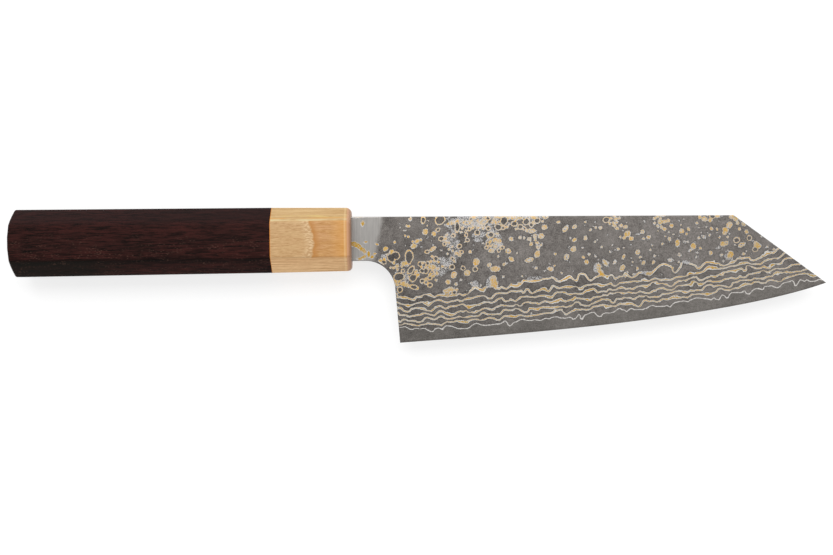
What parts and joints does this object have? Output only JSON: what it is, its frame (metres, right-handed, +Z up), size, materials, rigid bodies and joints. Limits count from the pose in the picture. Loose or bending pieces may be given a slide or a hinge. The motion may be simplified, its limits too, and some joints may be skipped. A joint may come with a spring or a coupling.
{
  "type": "bunka knife",
  "caption": "Japanese kitchen knife with a clipped point, a laminated patterned blade ground to a bare core along its edge, and an octagonal handle of dark wood with a pale ferrule.",
  "frame": {"origin": "the middle of the footprint's bounding box, on the surface that the knife lies on", "axes": "+X along the handle's axis to the blade's tip, +Y from the cutting edge to the spine, +Z up out of the blade's right face; the knife lies on its left side"},
  "size_m": [0.3219, 0.0542, 0.021],
  "materials": {
    "core_steel": "hard core steel, satin and lightly etched, bare along the cutting edge",
    "clad_metal": "etched dark steel layered with brass and nickel",
    "pale_wood": "pale straight-grained wood, waxed",
    "dark_wood": "very dark red-brown rosewood, waxed",
    "plain_wood": "plain unfinished wood, hidden",
    "resin": "cured amber resin, hidden"
  },
  "bodies": {
    "root": {"blade_core": "core_steel", "cladding_right": "clad_metal", "cladding_left": "clad_metal", "ferrule": "pale_wood", "handle_body": "dark_wood", "tang_dowel": "plain_wood", "tang_bedding": "resin"}
  },
  "joints": []
}
